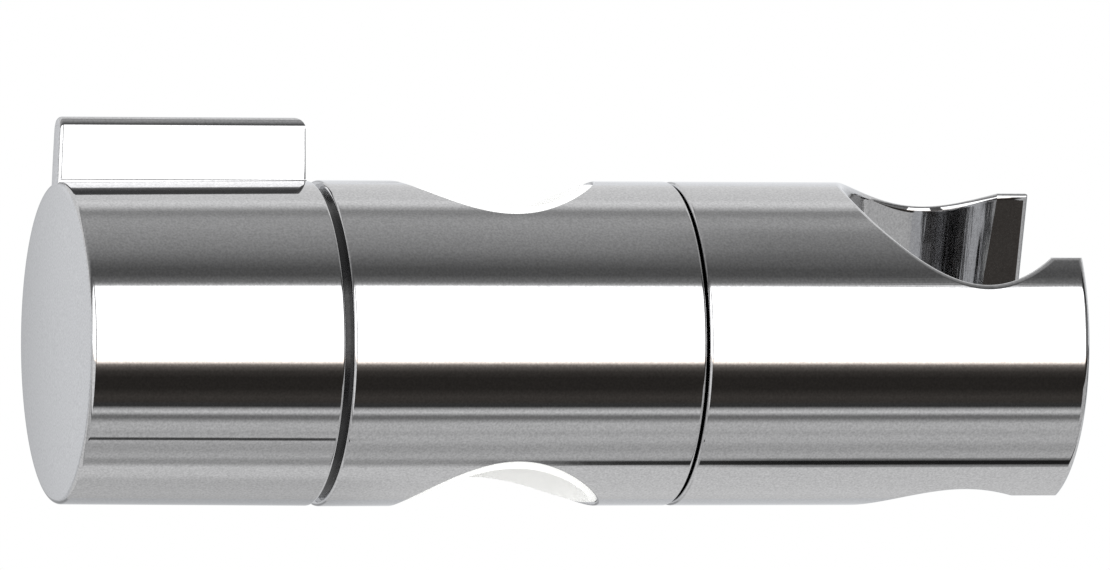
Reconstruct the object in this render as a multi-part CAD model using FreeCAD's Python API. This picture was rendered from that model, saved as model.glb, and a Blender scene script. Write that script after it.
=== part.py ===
import FreeCAD
import Part
import math
import os

# Shower rail slider, in millimetres.
# The body lies along X and the wall rail passes through it along Z.
# The origin is where the rail's axis crosses the body's axis.
# The lever knob is at the -X end, the handset holder at the +X end, and the user stands at -Y.

Vector = FreeCAD.Vector
X_AXIS = Vector(1, 0, 0)
Y_AXIS = Vector(0, 1, 0)
Z_AXIS = Vector(0, 0, 1)
ORIGIN = Vector(0, 0, 0)

# Rail and the liners that guide it
rail_radius = 9.0
rail_clearance = 0.1
bush_wall = 1.3
bush_recess = 0.35
bush_lead_in_margin = 1.0
bush_lead_in_angle_deg = 7.0
press_gap = 0.05
running_gap = 0.06

# Body sleeve
body_margin = 5.8
sleeve_wall = 1.5
sleeve_lip_length = 1.6
sleeve_lip_height = 1.55
sleeve_edge = 0.4
notch_edge = 0.4
right_end_trim = 0.15

# Clamp stack between the rail and the left end of the body
shoe_setback = 0.5
pad_thickness = 1.4
shoe_half_width = 5.9
shoe_gap = 0.1
plunger_length = 3.9
plunger_clearance = 0.2
plunger_floor = 0.8
plunger_edge = 0.4
drive_screw_setback = 0.3
collar_thickness = 0.9
washer_thickness = 0.4
axial_play = 0.05
plate_thickness = 1.65

# Drive screw
journal_radius = 4.5
collar_radius = 6.6
collar_clearance = 0.4
drive_thread_radius = 3.6
thread_gap = 0.1
square_half_width = 3.1
square_length = 10.4
seal_half_width = 0.42
hub_screw_radius = 1.5
hub_screw_head_radius = 3.0
hub_screw_head_height = 1.6
hub_screw_length = 8.0
hub_screw_socket = 2.0

# Bearing plate and its screws
plate_boss_height = 0.65
plate_boss_inset = 2.5
plate_screw_count = 3
plate_screw_radius = 1.25
plate_screw_head_radius = 2.2
plate_screw_length = 6.0
plate_screw_rim = 0.6
screw_slot_depth = 0.6
screw_slot_width = 0.6

# Gap between the knob and the body
knob_gap = 0.75
gap_ring_inset = 0.85
gap_ring_play = 0.1

# Lever knob
knob_step = 0.05
knob_draft = 0.2
knob_length = 25.6
knob_end_rise = 0.5
knob_wall = 1.8
knob_end_wall = 1.7
knob_open_edge = 0.45
knob_rim_radius = 0.6
fin_thickness = 3.0
fin_height = 6.25
fin_setback = 0.25
fin_corner_radius = 1.1
fin_ridge_radius = 1.3
fin_edge_radius = 0.4
snap_height = 0.35
snap_width = 1.2

# Knob core
core_setback = 0.4
core_flange = 2.0
core_front_gap = 0.6
core_hub_radius = 7.0
core_hub_wall = 2.0
core_rib_count = 6
core_rib_thickness = 1.6
knob_range_deg = 90.0
stop_pin_radius = 1.0
stop_pin_reach = 1.9
stop_clearance = 0.25
knob_pin_rim = 1.0

# Tilt pivot between the body and the holder
holder_gap = 0.25
spigot_radius = 7.0
spigot_length = 6.2
core_boss_setback = 0.55
insert_radius = 3.6
insert_wall = 2.5
insert_recess = 0.5
insert_bore_depth = 1.0
bolt_radius = 2.5
bolt_head_radius = 4.5
bolt_head_height = 2.4
bolt_hex_half_width = 1.5
bolt_hex_depth = 1.4
bolt_hole_gap = 0.15
bolt_washer_thickness = 0.6
wave_spring_height = 1.0
wave_spring_thickness = 0.3
wave_spring_width = 2.0
wave_count = 3
pivot_bush_wall = 1.9
hub_wall = 1.6
friction_ring_proud = 1.05
friction_ring_clearance = 0.1
tilt_pin_clearance = 0.4
tilt_pin_length = 10.4
tilt_range_deg = 35.0

# Handset holder
holder_wall = 2.25
holder_cavity_depth = 7.85
holder_web = 3.9
holder_rib_thickness = 1.8
head_clearance = 0.8
plug_gap = 0.35
plug_thickness = 1.2
plug_flush = 0.15
handset_cone_radius = 12.2
handset_cone_angle_deg = 2.75
slot_lip = 1.05
slot_flat_length = 2.15
holder_tilt_deg = 22.4
holder_end_radius = 0.7
holder_root_edge = 0.35
holder_cut_edge = 0.38

# How far a cutting shape runs past the face that it cuts
cut_beyond = 1.0

# Radii that follow from the rail outwards
bush_bore_radius = rail_radius + rail_clearance
bush_radius = bush_bore_radius + bush_wall
rail_hole_radius = bush_radius + press_gap
body_radius = rail_hole_radius + body_margin
sleeve_bore = body_radius - sleeve_wall
core_radius = sleeve_bore - press_gap
guide_radius = bush_bore_radius + shoe_setback + shoe_gap
channel_half_width = shoe_half_width + shoe_gap
bush_shoulder = channel_half_width + bush_recess
full_ring_height = math.sqrt((body_radius - bush_recess) ** 2 - bush_bore_radius ** 2)
lead_in_height = full_ring_height - bush_lead_in_margin

# Places along X, from the rail out to the left end
pad_face_radius = bush_bore_radius + shoe_setback
plunger_right = -(pad_face_radius + pad_thickness)
plunger_left = plunger_right - plunger_length
collar_right = plunger_left - plunger_clearance
collar_left = collar_right - collar_thickness
washer_right = collar_left - axial_play
plate_right = washer_right - washer_thickness - axial_play
body_left = plate_right - plate_thickness
body_half_length = -body_left
plate_face = body_left - plate_boss_height
knob_right = body_left - knob_gap
knob_left = knob_right - knob_length
knob_tip = knob_left - knob_end_rise
knob_core_right = knob_right - core_setback
drive_screw_tip = plunger_right - plunger_floor - drive_screw_setback
square_left = knob_core_right - square_length

# Places along X, from the rail out to the right end
body_right = body_half_length - right_end_trim
lip_left = body_right - sleeve_lip_length
lip_radius = sleeve_bore - sleeve_lip_height
core_boss_radius = lip_radius - press_gap * 2
core_boss_right = body_right - core_boss_setback
spigot_right = core_boss_right + spigot_length
insert_left = rail_hole_radius + insert_wall
holder_left = body_right + holder_gap
cavity_right = holder_left + holder_cavity_depth
bolt_seat = cavity_right + holder_web
washer_left = bolt_seat + axial_play + wave_spring_height + axial_play
bolt_head_left = washer_left + bolt_washer_thickness
bolt_head_right = bolt_head_left + bolt_head_height
plug_left = bolt_head_right + plug_gap
cone_back = plug_left + plug_thickness
cone_centre = cone_back + handset_cone_radius
cone_slope = math.tan(math.radians(handset_cone_angle_deg))
cone_top_radius = handset_cone_radius + cone_slope * body_radius
cone_bottom_radius = handset_cone_radius - cone_slope * body_radius
slot_half_width = cone_bottom_radius - slot_lip
slot_left = cone_centre + math.sqrt(cone_top_radius ** 2 - slot_half_width ** 2)
holder_right = slot_left + slot_flat_length
cavity_radius = body_radius - holder_wall

# Radii round the pivot
pivot_bush_bore = spigot_radius + running_gap
pivot_bush_radius = pivot_bush_bore + pivot_bush_wall
hub_bore = pivot_bush_radius + press_gap
hub_radius = hub_bore + hub_wall
hub_left = core_boss_right + friction_ring_proud + friction_ring_clearance
tilt_pin_pitch = hub_radius + tilt_pin_clearance + stop_pin_radius
head_bore = bolt_head_radius + head_clearance

# Radii of the left end
knob_radius = body_radius - knob_step
knob_tip_radius = knob_radius - knob_draft
knob_bore = knob_radius - knob_wall
plate_radius = core_radius
plate_boss_radius = plate_radius - plate_boss_inset
gap_ring_radius = body_radius - gap_ring_inset
plate_screw_pitch = plate_boss_radius - plate_screw_rim - plate_screw_head_radius
knob_pin_pitch = plate_boss_radius - knob_pin_rim - stop_pin_radius
fin_top = body_radius + fin_height
dome_radius = (knob_tip_radius ** 2 + knob_end_rise ** 2) / (2 * knob_end_rise)


def turned(profile):
    """Solid of revolution about X from a closed outline of (x, radius) points."""
    points = [Vector(x, 0, r) for x, r in profile]
    outline = Part.makePolygon(points + [points[0]])
    return Part.Face(outline).revolve(ORIGIN, X_AXIS, 360)


def disc(x_from, x_to, radius, y=0.0, z=0.0):
    """Round bar along X."""
    return Part.makeCylinder(radius, x_to - x_from, Vector(x_from, y, z), X_AXIS)


def ring(x_from, x_to, inner, outer):
    """Flat ring about X."""
    return disc(x_from, x_to, outer).cut(disc(x_from, x_to, inner))


def rail_bar(radius):
    """Round bar along the rail, longer than the body is thick."""
    return Part.makeCylinder(radius, 4 * body_radius, Vector(0, 0, -2 * body_radius), Z_AXIS)


def block(x_from, x_to, half_y, half_z):
    """Bar of rectangular section along X, centred on the axis."""
    corner = Vector(x_from, -half_y, -half_z)
    return Part.makeBox(x_to - x_from, 2 * half_y, 2 * half_z, corner)


def about_axis(shape, degrees):
    """Copy of a shape, turned about the body's axis."""
    copy = shape.copy()
    copy.rotate(ORIGIN, X_AXIS, degrees)
    return copy


def on_circle(pitch, degrees):
    """Y and Z of a point on a circle about X, with 0 degrees straight up."""
    angle = math.radians(degrees)
    return -pitch * math.sin(angle), pitch * math.cos(angle)


def rounded(shape, radius, wanted):
    """Shape with a round on each edge that the test wants."""
    edges = [edge for edge in shape.Edges if wanted(edge)]
    return shape.makeFillet(radius, edges)


def bevelled(shape, width, wanted):
    """Shape with a flat bevel on each edge that the test wants."""
    edges = [edge for edge in shape.Edges if wanted(edge)]
    return shape.makeChamfer(width, edges)


def middle(edge):
    """Point halfway along an edge."""
    return edge.valueAt((edge.FirstParameter + edge.LastParameter) / 2)


def away_from_axis(point):
    """Distance of a point from the body's axis."""
    return math.hypot(point.y, point.z)


def away_from_rail(point):
    """Distance of a point from the rail's axis."""
    return math.hypot(point.x, point.y)


def save(node, shape):
    """Write one piece to its own file."""
    shape.exportStep("parts/" + node + ".step")
    print(node, len(shape.Solids), "solid", round(shape.Volume), "mm3", shape.isValid())


# Body sleeve: one plated casting, a tube with a saddle cut top and bottom where the rail goes
# through, and a lip inside its right end that the core is pushed against.
def body_sleeve():
    outer = turned([
        (body_left, 0),
        (body_left, body_radius - sleeve_edge),
        (body_left + sleeve_edge, body_radius),
        (body_right - sleeve_edge, body_radius),
        (body_right, body_radius - sleeve_edge),
        (body_right, 0),
    ])
    cut = outer.cut(rail_bar(rail_hole_radius))
    saddle = bevelled(cut, notch_edge, lambda edge: (
        abs(away_from_rail(middle(edge)) - rail_hole_radius) < press_gap
        and abs(away_from_axis(middle(edge)) - body_radius) < press_gap))
    bore = disc(body_left, lip_left, sleeve_bore)
    mouth = disc(body_left, body_right, lip_radius)
    return saddle.cut(bore).cut(mouth)


# Core: one glass-filled moulding inside the sleeve. It holds the rail liners, the clamp and
# the spigot that the holder turns on.
def body_core():
    core = disc(plate_right, lip_left, core_radius)
    core = core.fuse(disc(plate_right, core_boss_right, core_boss_radius))
    core = core.fuse(disc(plate_right, spigot_right, spigot_radius))
    core = core.cut(rail_bar(guide_radius))
    core = core.cut(liner_seat(1)).cut(liner_seat(-1))
    core = core.cut(disc(plate_right, collar_right, collar_radius + collar_clearance))
    core = core.cut(block(collar_right, 0, channel_half_width, channel_half_width))
    for degrees in plate_screw_angles():
        y, z = on_circle(plate_screw_pitch, degrees)
        tip = plate_face + plate_screw_length
        core = core.cut(disc(plate_right, tip + press_gap, plate_screw_radius, y, z))
    core = core.cut(disc(insert_left, spigot_right, insert_radius + press_gap))
    pin_y, pin_z = on_circle(tilt_pin_pitch, 0)
    hole = disc(tilt_pin_left(), core_boss_right, stop_pin_radius + press_gap, pin_y, pin_z)
    return core.cut(hole).removeSplitter()


def liner_seat(side):
    """Counterbore that one rail liner is pushed into, from above or below."""
    start = Vector(0, 0, side * bush_shoulder)
    return Part.makeCylinder(rail_hole_radius, 2 * body_radius, start, Z_AXIS * side)


def rail_liner(side):
    """Acetal liner of the rail hole, cut to the curve of the body, with a flared mouth."""
    start = Vector(0, 0, side * bush_shoulder)
    outer = Part.makeCylinder(bush_radius, 2 * body_radius, start, Z_AXIS * side)
    inside = disc(body_left, body_right, body_radius - bush_recess)
    flare_length = body_radius
    flare_radius = bush_bore_radius + flare_length * math.tan(math.radians(bush_lead_in_angle_deg))
    mouth = Vector(0, 0, side * lead_in_height)
    flare = Part.makeCone(bush_bore_radius, flare_radius, flare_length, mouth, Z_AXIS * side)
    return outer.common(inside).cut(rail_bar(bush_bore_radius)).cut(flare)


# Bearing plate: it closes the left end of the core and traps the drive screw's collar.
def plate_screw_angles():
    return [60 + 360 / plate_screw_count * turn for turn in range(plate_screw_count)]


def bearing_plate():
    plate = disc(body_left, plate_right, plate_radius)
    plate = plate.fuse(disc(plate_face, plate_right, plate_boss_radius))
    plate = plate.cut(disc(plate_face, plate_right, journal_radius + running_gap))
    for degrees in plate_screw_angles():
        plate = plate.cut(plate_screw(degrees, press_gap, False))
    pin_y, pin_z = on_circle(knob_pin_pitch, knob_pin_angle())
    hole = disc(plate_face, plate_right, stop_pin_radius + press_gap, pin_y, pin_z)
    return plate.cut(hole).removeSplitter()


def plate_screw(degrees, gap, slotted):
    """Countersunk screw, grown by a gap to give its hole."""
    head = plate_screw_head_radius + gap
    shank = plate_screw_radius + gap
    tip = plate_face + plate_screw_length
    screw = turned([
        (plate_face, 0),
        (plate_face, head),
        (plate_face + head - shank, shank),
        (tip, shank),
        (tip, 0),
    ])
    if slotted:
        slot = block(plate_face, plate_face + screw_slot_depth, head, screw_slot_width / 2)
        screw = screw.cut(slot)
    y, z = on_circle(plate_screw_pitch, degrees)
    screw.translate(Vector(0, y, z))
    return screw


def plate_screws():
    return Part.makeCompound([plate_screw(degrees, 0, True) for degrees in plate_screw_angles()])


def gap_ring():
    return ring(knob_right + gap_ring_play, body_left, plate_boss_radius + press_gap, gap_ring_radius)


def knob_pin_angle():
    """Place of the stop pin, in the middle between two screws."""
    return 60 + 180 / plate_screw_count


def knob_stop_pin():
    pin_y, pin_z = on_circle(knob_pin_pitch, knob_pin_angle())
    return disc(knob_core_right - stop_pin_reach + stop_clearance, plate_right, stop_pin_radius, pin_y, pin_z)


def thrust_washer():
    return ring(plate_right + axial_play, washer_right, journal_radius + running_gap, collar_radius)


# Drive screw: square for the knob, journal with a seal groove, collar, and coarse thread.
def seal_centre():
    return (plate_face + plate_right) / 2


def drive_screw():
    groove_half = seal_half_width + press_gap
    groove_floor = journal_radius - 2 * seal_half_width
    square = block(square_left, knob_core_right, square_half_width, square_half_width)
    square = square.common(disc(square_left, knob_core_right, journal_radius))
    stem = turned([
        (knob_core_right, 0),
        (knob_core_right, journal_radius),
        (seal_centre() - groove_half, journal_radius),
        (seal_centre() - groove_half, groove_floor),
        (seal_centre() + groove_half, groove_floor),
        (seal_centre() + groove_half, journal_radius),
        (collar_left, journal_radius),
        (collar_left, collar_radius),
        (collar_right, collar_radius),
        (collar_right, drive_thread_radius),
        (drive_screw_tip, drive_thread_radius),
        (drive_screw_tip, 0),
    ])
    hole_end = hub_screw_left() + hub_screw_length + thread_gap
    return square.fuse(stem).cut(disc(square_left, hole_end, hub_screw_radius + press_gap))


def journal_seal():
    """Square-cut rubber ring in the journal's groove."""
    left = seal_centre() - seal_half_width
    right = seal_centre() + seal_half_width
    return ring(left, right, journal_radius - 2 * seal_half_width, journal_radius)


# Clamp shoe: a square plunger that can't turn, with a rubber pad hollowed to the rail.
def shoe_plunger():
    plunger = block(plunger_left, plunger_right, shoe_half_width, shoe_half_width)
    plunger = plunger.makeChamfer(plunger_edge, [
        edge for edge in plunger.Edges if abs(middle(edge).x - plunger_left) < press_gap])
    bore_end = plunger_right - plunger_floor
    return plunger.cut(disc(plunger_left, bore_end, drive_thread_radius + thread_gap))


def shoe_pad():
    pad = block(plunger_right, 0, shoe_half_width, shoe_half_width)
    return pad.cut(rail_bar(pad_face_radius))


# Lever knob: a plated cup with a domed end, and a fin for the thumb along its top.
def fin_side_outline():
    """The fin seen from the front, its right upper corner rounded."""
    right = knob_right - fin_setback
    corner = fin_corner_radius
    centre = Vector(right - corner, 0, fin_top - corner)
    bend = centre + Vector(math.sin(math.pi / 4), 0, math.cos(math.pi / 4)) * corner
    low = Vector(right, 0, 0)
    shoulder = Vector(right, 0, fin_top - corner)
    ridge = Vector(right - corner, 0, fin_top)
    far = Vector(knob_tip - cut_beyond, 0, fin_top)
    foot = Vector(knob_tip - cut_beyond, 0, 0)
    return Part.Wire([
        Part.LineSegment(low, shoulder).toShape(),
        Part.Arc(shoulder, bend, ridge).toShape(),
        Part.LineSegment(ridge, far).toShape(),
        Part.LineSegment(far, foot).toShape(),
        Part.LineSegment(foot, low).toShape(),
    ])


def fin_end_outline():
    """The fin seen from its end, both sides rounded over into the ridge."""
    x = knob_tip - cut_beyond
    half = fin_thickness / 2
    bend = min(fin_ridge_radius, half - press_gap)
    lean = bend * math.sin(math.pi / 4)
    low_left = Vector(x, -half, 0)
    left = Vector(x, -half, fin_top - bend)
    left_bend = Vector(x, -half + bend - lean, fin_top - bend + lean)
    top_left = Vector(x, -half + bend, fin_top)
    top_right = Vector(x, half - bend, fin_top)
    right_bend = Vector(x, half - bend + lean, fin_top - bend + lean)
    right = Vector(x, half, fin_top - bend)
    low_right = Vector(x, half, 0)
    return Part.Wire([
        Part.LineSegment(low_left, left).toShape(),
        Part.Arc(left, left_bend, top_left).toShape(),
        Part.LineSegment(top_left, top_right).toShape(),
        Part.Arc(top_right, right_bend, right).toShape(),
        Part.LineSegment(right, low_right).toShape(),
        Part.LineSegment(low_right, low_left).toShape(),
    ])


def fin_plan_outline():
    """The fin seen from above, the corners of its right end rounded."""
    half = fin_thickness / 2
    bend = min(fin_edge_radius, half - press_gap)
    lean = bend * math.sin(math.pi / 4)
    right = knob_right - fin_setback
    left = knob_tip - cut_beyond
    return Part.Wire([
        Part.LineSegment(Vector(left, -half, 0), Vector(right - bend, -half, 0)).toShape(),
        Part.Arc(Vector(right - bend, -half, 0), Vector(right - bend + lean, -half + bend - lean, 0),
                 Vector(right, -half + bend, 0)).toShape(),
        Part.LineSegment(Vector(right, -half + bend, 0), Vector(right, half - bend, 0)).toShape(),
        Part.Arc(Vector(right, half - bend, 0), Vector(right - bend + lean, half - bend + lean, 0),
                 Vector(right - bend, half, 0)).toShape(),
        Part.LineSegment(Vector(right - bend, half, 0), Vector(left, half, 0)).toShape(),
        Part.LineSegment(Vector(left, half, 0), Vector(left, -half, 0)).toShape(),
    ])


def fin_block():
    """Upright fin for the thumb: what its three outlines have in common."""
    side = Part.Face(fin_side_outline())
    side.translate(Vector(0, -fin_thickness, 0))
    side = side.extrude(Vector(0, 2 * fin_thickness, 0))
    end = Part.Face(fin_end_outline()).extrude(Vector(knob_length + 2 * cut_beyond, 0, 0))
    plan = Part.Face(fin_plan_outline()).extrude(Vector(0, 0, 2 * fin_top))
    return side.common(end).common(plan)


def knob_drum():
    """Drum with a slight draft, longer than the knob so that the dome can cut its end."""
    draft = knob_draft / knob_length
    beyond = 2 * knob_end_rise
    return turned([
        (knob_right, 0),
        (knob_right, knob_radius - knob_open_edge),
        (knob_right - knob_open_edge, knob_radius),
        (knob_left - beyond, knob_tip_radius - draft * beyond),
        (knob_left - beyond, 0),
    ])


def knob_rim_waste():
    """Corner between the dome and the drum, to be cut away to a round, but not at the fin."""
    low = knob_tip_radius - knob_rim_radius
    dome_x = knob_tip + dome_radius - math.sqrt(dome_radius ** 2 - low ** 2)
    start = Vector(dome_x, 0, low)
    end = Vector(dome_x + knob_rim_radius, 0, knob_tip_radius)
    centre = Vector(end.x, 0, low)
    bend = centre + Vector(-math.cos(math.pi / 4), 0, math.sin(math.pi / 4)) * knob_rim_radius
    outside = knob_tip_radius + knob_rim_radius
    before = dome_x - knob_rim_radius
    outline = Part.Wire([
        Part.Arc(start, bend, end).toShape(),
        Part.LineSegment(end, Vector(end.x, 0, outside)).toShape(),
        Part.LineSegment(Vector(end.x, 0, outside), Vector(before, 0, outside)).toShape(),
        Part.LineSegment(Vector(before, 0, outside), Vector(before, 0, low)).toShape(),
        Part.LineSegment(Vector(before, 0, low), start).toShape(),
    ])
    waste = Part.Face(outline).revolve(ORIGIN, X_AXIS, 360)
    return waste.cut(fin_block())


def knob_shell():
    dome = Part.makeSphere(dome_radius, Vector(knob_tip + dome_radius, 0, 0))
    reach = block(knob_tip - cut_beyond, knob_right, 2 * body_radius, 2 * body_radius)
    whole = knob_drum().fuse(fin_block()).common(dome.common(reach)).removeSplitter()
    whole = whole.cut(knob_rim_waste())
    bore = disc(knob_left + knob_end_wall, knob_right, knob_bore)
    return whole.cut(bore).cut(snap_ring(snap_height + press_gap, press_gap))


def snap_centre():
    return knob_core_right - core_flange / 2


def snap_ring(height, gap):
    """Bead on the core that clicks into a groove in the knob."""
    half = snap_width / 2 + gap
    root = knob_bore - cut_beyond
    return turned([
        (snap_centre() - half, root),
        (snap_centre() - half, knob_bore),
        (snap_centre(), knob_bore + height),
        (snap_centre() + half, knob_bore),
        (snap_centre() + half, root),
    ])


# Knob core: hub, flange and ribs moulded in one, keyed to the drive screw by its square.
def knob_core():
    left = knob_left + knob_end_wall + core_front_gap
    radius = knob_bore - press_gap
    hub_left_end = square_left - core_hub_wall - hub_screw_head_height
    flange_left = knob_core_right - core_flange
    core = disc(flange_left, knob_core_right, radius)
    core = core.fuse(snap_ring(snap_height - press_gap, 0).common(disc(left, knob_core_right, body_radius)))
    core = core.fuse(disc(hub_left_end, knob_core_right, core_hub_radius))
    rib = Part.makeBox(
        knob_core_right - left, core_rib_thickness, radius - core_hub_radius / 2,
        Vector(left, -core_rib_thickness / 2, core_hub_radius / 2))
    rib = rib.common(disc(left, knob_core_right, radius))
    for turn in range(core_rib_count):
        core = core.fuse(about_axis(rib, 360 / core_rib_count * turn))
    core = core.cut(disc(left, hub_left_end, core_hub_radius))
    socket = square_half_width + press_gap
    core = core.cut(block(square_left - press_gap, knob_core_right, socket, socket))
    core = core.cut(disc(left, square_left, hub_screw_radius + press_gap))
    core = core.cut(disc(left, hub_screw_left(), hub_screw_head_radius + press_gap))
    return core.cut(stop_groove()).removeSplitter()


def stop_groove():
    """Curved groove in the flange that lets the pin through the knob's quarter turn."""
    half = stop_pin_radius + stop_clearance
    depth = knob_core_right - stop_pin_reach
    band = ring(depth, knob_core_right, knob_pin_pitch - half, knob_pin_pitch + half)
    spare = math.degrees(math.asin(half / knob_pin_pitch))
    sweep = knob_range_deg + 2 * spare
    first = knob_pin_angle() - knob_range_deg - spare
    reach = 2 * knob_pin_pitch
    wedge = Part.Face(Part.makePolygon([
        Vector(depth, 0, 0), Vector(knob_core_right, 0, 0),
        Vector(knob_core_right, 0, reach), Vector(depth, 0, reach), Vector(depth, 0, 0),
    ])).revolve(ORIGIN, X_AXIS, sweep)
    return band.common(about_axis(wedge, first))


def hub_screw_left():
    """Seat of the hub screw's head."""
    return square_left - core_hub_wall


def hub_screw():
    seat = hub_screw_left()
    screw = turned([
        (seat - hub_screw_head_height, 0),
        (seat - hub_screw_head_height, hub_screw_head_radius - hub_screw_head_height / 4),
        (seat - hub_screw_head_height * 3 / 4, hub_screw_head_radius),
        (seat, hub_screw_head_radius),
        (seat, hub_screw_radius),
        (seat + hub_screw_length, hub_screw_radius),
        (seat + hub_screw_length, 0),
    ])
    socket = hex_prism(seat - hub_screw_head_height, hub_screw_head_height / 2, hub_screw_socket / 2)
    return screw.cut(socket)


def hex_prism(x_from, length, half_width):
    """Hexagonal bar along X, for a key socket."""
    corner = half_width / math.cos(math.pi / 6)
    points = [Vector(x_from, *on_circle(corner, 60 * turn)) for turn in range(7)]
    return Part.Face(Part.makePolygon(points)).extrude(Vector(length, 0, 0))


# Pivot: insert in the spigot, friction ring, stop pin, bolt, washer and wave spring.
def pivot_insert():
    return ring(insert_left, spigot_right - insert_recess, bolt_radius + press_gap, insert_radius)


def friction_ring():
    right = core_boss_right + friction_ring_proud
    return ring(core_boss_right, right, spigot_radius + press_gap, hub_radius)


def tilt_pin_left():
    return core_boss_right + holder_cavity_depth / 2 - tilt_pin_length


def tilt_stop_pin():
    pin_y, pin_z = on_circle(tilt_pin_pitch, 0)
    return disc(tilt_pin_left(), core_boss_right + holder_cavity_depth / 2, stop_pin_radius, pin_y, pin_z)


def pivot_bolt():
    tip = insert_left + insert_bore_depth
    edge = bolt_head_height / 6
    bolt = turned([
        (tip, 0),
        (tip, bolt_radius),
        (bolt_head_left, bolt_radius),
        (bolt_head_left, bolt_head_radius),
        (bolt_head_right - edge, bolt_head_radius),
        (bolt_head_right, bolt_head_radius - edge),
        (bolt_head_right, 0),
    ])
    return bolt.cut(hex_prism(bolt_head_right - bolt_hex_depth, bolt_hex_depth, bolt_hex_half_width))


def bolt_washer():
    return ring(washer_left, washer_left + bolt_washer_thickness, bolt_radius + press_gap, bolt_head_radius)


def wave_spring():
    """Thin ring of spring steel, waved up and down, under the bolt's washer."""
    swing = (wave_spring_height - wave_spring_thickness) / 2
    centre = bolt_seat + axial_play + swing

    def rim(radius):
        points = []
        steps = 8 * wave_count
        for step in range(steps):
            angle = 2 * math.pi * step / steps
            x = centre + swing * math.sin(wave_count * angle)
            points.append(Vector(x, radius * math.cos(angle), radius * math.sin(angle)))
        curve = Part.BSplineCurve()
        curve.interpolate(points, PeriodicFlag=True)
        return curve.toShape()

    inner = bolt_radius + press_gap * 3
    sheet = Part.makeRuledSurface(rim(inner), rim(inner + wave_spring_width))
    return sheet.extrude(Vector(wave_spring_thickness, 0, 0))


# Handset holder: one plated casting. It is made upright and then tilted about the body's axis.
def handset_cone(gap):
    """Tapered seat of the handset, wide end up."""
    height = 2 * body_radius
    wide = handset_cone_radius + cone_slope * height + gap
    narrow = handset_cone_radius - cone_slope * height + gap
    return Part.makeCone(narrow, wide, 2 * height, Vector(cone_centre, 0, -height), Z_AXIS)


def holder_slot():
    """Way in for the hose, open to the right end."""
    length = holder_right - cone_centre + cut_beyond
    corner = Vector(cone_centre, -slot_half_width, -2 * body_radius)
    return Part.makeBox(length, 2 * slot_half_width, 4 * body_radius, corner)


def holder_outer():
    edge = holder_root_edge
    round_end = holder_end_radius
    straight = disc(holder_left + edge, holder_right, body_radius)
    root = turned([
        (holder_left, 0),
        (holder_left, body_radius - edge),
        (holder_left + edge, body_radius),
        (holder_left + 2 * edge, body_radius),
        (holder_left + 2 * edge, 0),
    ])
    straight = rounded(straight, round_end, lambda rim: (
        rim.BoundBox.XMin > holder_right - press_gap and rim.Closed))
    return straight.fuse(root).removeSplitter()


def holder_mouth_edge(edge):
    """Edges where the cone and the slot come out through the round outside."""
    point = middle(edge)
    past_cone = point.x > cone_back - cut_beyond
    at_outside = abs(away_from_axis(point) - body_radius) < press_gap
    return past_cone and at_outside and point.x < holder_right - holder_end_radius / 2


def holder_shell():
    opening = handset_cone(0).fuse(holder_slot()).removeSplitter()
    shell = holder_outer().cut(opening)
    shell = bevelled(shell, holder_cut_edge, holder_mouth_edge)
    shell = shell.cut(holder_inside())
    shell = shell.cut(disc(cavity_right, cone_centre, bolt_radius + bolt_hole_gap))
    return shell.cut(disc(bolt_seat, cone_centre, head_bore))


def holder_inside():
    """Space round the pivot hub, parted by four ribs. Two of them meet the stop pin."""
    space = ring(hub_left, cavity_right, hub_radius, cavity_radius)
    reach = stop_pin_radius + holder_rib_thickness / 2 + stop_clearance
    stop_angle = tilt_range_deg + math.degrees(math.asin(reach / tilt_pin_pitch))
    for degrees in (stop_angle, -stop_angle, 180 + stop_angle, 180 - stop_angle):
        rib = Part.makeBox(
            holder_cavity_depth, holder_rib_thickness, cavity_radius,
            Vector(hub_left + holder_gap, -holder_rib_thickness / 2, 0))
        space = space.cut(about_axis(rib, degrees))
    front = disc(holder_left, hub_left, cavity_radius)
    bore = disc(holder_left, cavity_right, hub_bore)
    inside = space.fuse(front).fuse(bore)
    return about_axis(inside, -holder_tilt_deg)


def pivot_bush():
    return ring(hub_left, cavity_right, pivot_bush_bore, pivot_bush_radius)


def cover_plug():
    """Cap over the bolt's head, hollowed to the cone that the handset sits in."""
    plug = disc(plug_left, cone_centre, head_bore - press_gap)
    return plug.cut(handset_cone(plug_flush))


def tilted(shape):
    return about_axis(shape, holder_tilt_deg)


os.makedirs("parts", exist_ok=True)

save("body_shell", body_sleeve())
save("body_core", body_core())
save("upper_rail_bush", rail_liner(1))
save("lower_rail_bush", rail_liner(-1))
save("bearing_plate", bearing_plate())
save("plate_screws", plate_screws())
save("gap_ring", gap_ring())
save("knob_stop_pin", knob_stop_pin())
save("thrust_washer", thrust_washer())
save("drive_screw", drive_screw())
save("journal_seal", journal_seal())
save("shoe_plunger", shoe_plunger())
save("shoe_pad", shoe_pad())
save("knob_shell", knob_shell())
save("knob_core", knob_core())
save("hub_screw", hub_screw())
save("pivot_insert", pivot_insert())
save("friction_ring", friction_ring())
save("tilt_stop_pin", tilt_stop_pin())
save("pivot_bolt", pivot_bolt())
save("bolt_washer", bolt_washer())
save("wave_spring", wave_spring())
save("holder_shell", tilted(holder_shell()))
save("pivot_bush", pivot_bush())
save("cover_plug", tilted(cover_plug()))
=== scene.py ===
# %% [markdown]
# # Shower rail slider
#
# The real part is a round chromed bar in three pieces: a lever knob with a fin, a body that an
# 18 mm rail passes through, and a forked holder for a handset. The CAD model gives the whole
# mechanism, and this lesson dresses it: three polished shells are modelled anew, because chrome
# shows every facet and every edge radius, and all the other pieces keep their CAD mesh.

# %% Load the frame
import math
import bpy
import bmesh
from mathutils import Matrix, Vector


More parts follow.
